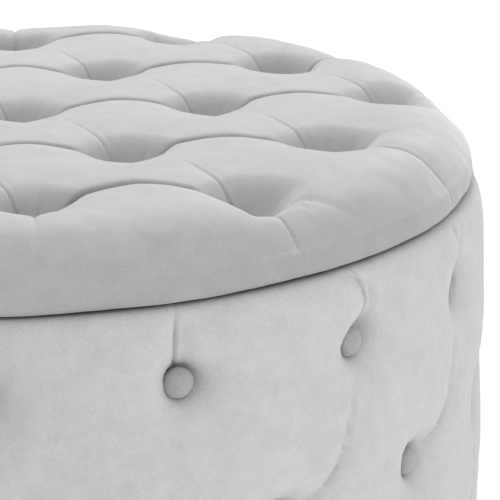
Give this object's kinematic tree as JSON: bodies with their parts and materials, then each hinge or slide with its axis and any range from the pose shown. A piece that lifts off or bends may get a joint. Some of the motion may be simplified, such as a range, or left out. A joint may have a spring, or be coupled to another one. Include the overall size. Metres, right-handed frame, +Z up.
{
  "type": "storage ottoman",
  "caption": "Round button-tufted upholstered storage ottoman with a thick padded lift-off lid over a lined hollow drum on low feet.",
  "frame": {"origin": "on the floor, under the middle of the ottoman", "axes": "+Z up out of the lid; the front faces -Y, +X is to the right of someone looking at the front"},
  "size_m": [0.762, 0.762, 0.428],
  "materials": {
    "velvet": "short-pile velvet, light grey",
    "button_velvet": "the same velvet stretched over metal button shells, with hessian tie bands",
    "foam": "open-cell polyurethane foam",
    "plywood": "sanded, unfinished",
    "hardboard": "smooth hardboard",
    "lining": "woven polyester lining on board",
    "dust_cloth": "spun-bonded polypropylene",
    "foot_plastic": "fine moulded grain",
    "screw_steel": "zinc plated"
  },
  "bodies": {
    "base": {"base_panel": "plywood", "bottom_ring": "plywood", "dust_cover": "dust_cloth", "foot_1": "foot_plastic", "foot_2": "foot_plastic", "foot_3": "foot_plastic", "foot_4": "foot_plastic", "foot_screw_1": "screw_steel", "foot_screw_2": "screw_steel", "foot_screw_3": "screw_steel", "foot_screw_4": "screw_steel", "lining_floor": "lining", "lining_wall_1": "lining", "lining_wall_2": "lining", "lining_wall_3": "lining", "lining_wall_4": "lining", "post_1": "plywood", "post_2": "plywood", "post_3": "plywood", "post_4": "plywood", "post_5": "plywood", "post_6": "plywood", "top_ring": "plywood", "wall_buttons_row_1": "button_velvet", "wall_buttons_row_2": "button_velvet", "wall_buttons_row_3": "button_velvet", "wall_cover": "velvet", "wall_foam": "foam", "wall_panel": "hardboard"},
    "lid": {"lid_board": "plywood", "lid_button_01": "button_velvet", "lid_button_02": "button_velvet", "lid_button_03": "button_velvet", "lid_button_04": "button_velvet", "lid_button_05": "button_velvet", "lid_button_06": "button_velvet", "lid_button_07": "button_velvet", "lid_button_08": "button_velvet", "lid_button_09": "button_velvet", "lid_button_10": "button_velvet", "lid_button_11": "button_velvet", "lid_button_12": "button_velvet", "lid_button_13": "button_velvet", "lid_button_14": "button_velvet", "lid_button_15": "button_velvet", "lid_button_16": "button_velvet", "lid_button_17": "button_velvet", "lid_button_18": "button_velvet", "lid_button_19": "button_velvet", "lid_cover": "velvet", "lid_foam": "foam", "lid_underlining": "lining", "locating_ring": "plywood", "ring_screw_1": "screw_steel", "ring_screw_2": "screw_steel", "ring_screw_3": "screw_steel", "ring_screw_4": "screw_steel", "ring_screw_5": "screw_steel", "ring_screw_6": "screw_steel"}
  },
  "joints": [
    {"name": "lid_lift", "type": "slide", "parent": "base", "child": "lid", "axis": [0, 0, 1], "range_m": [0, 0.3]}
  ]
}
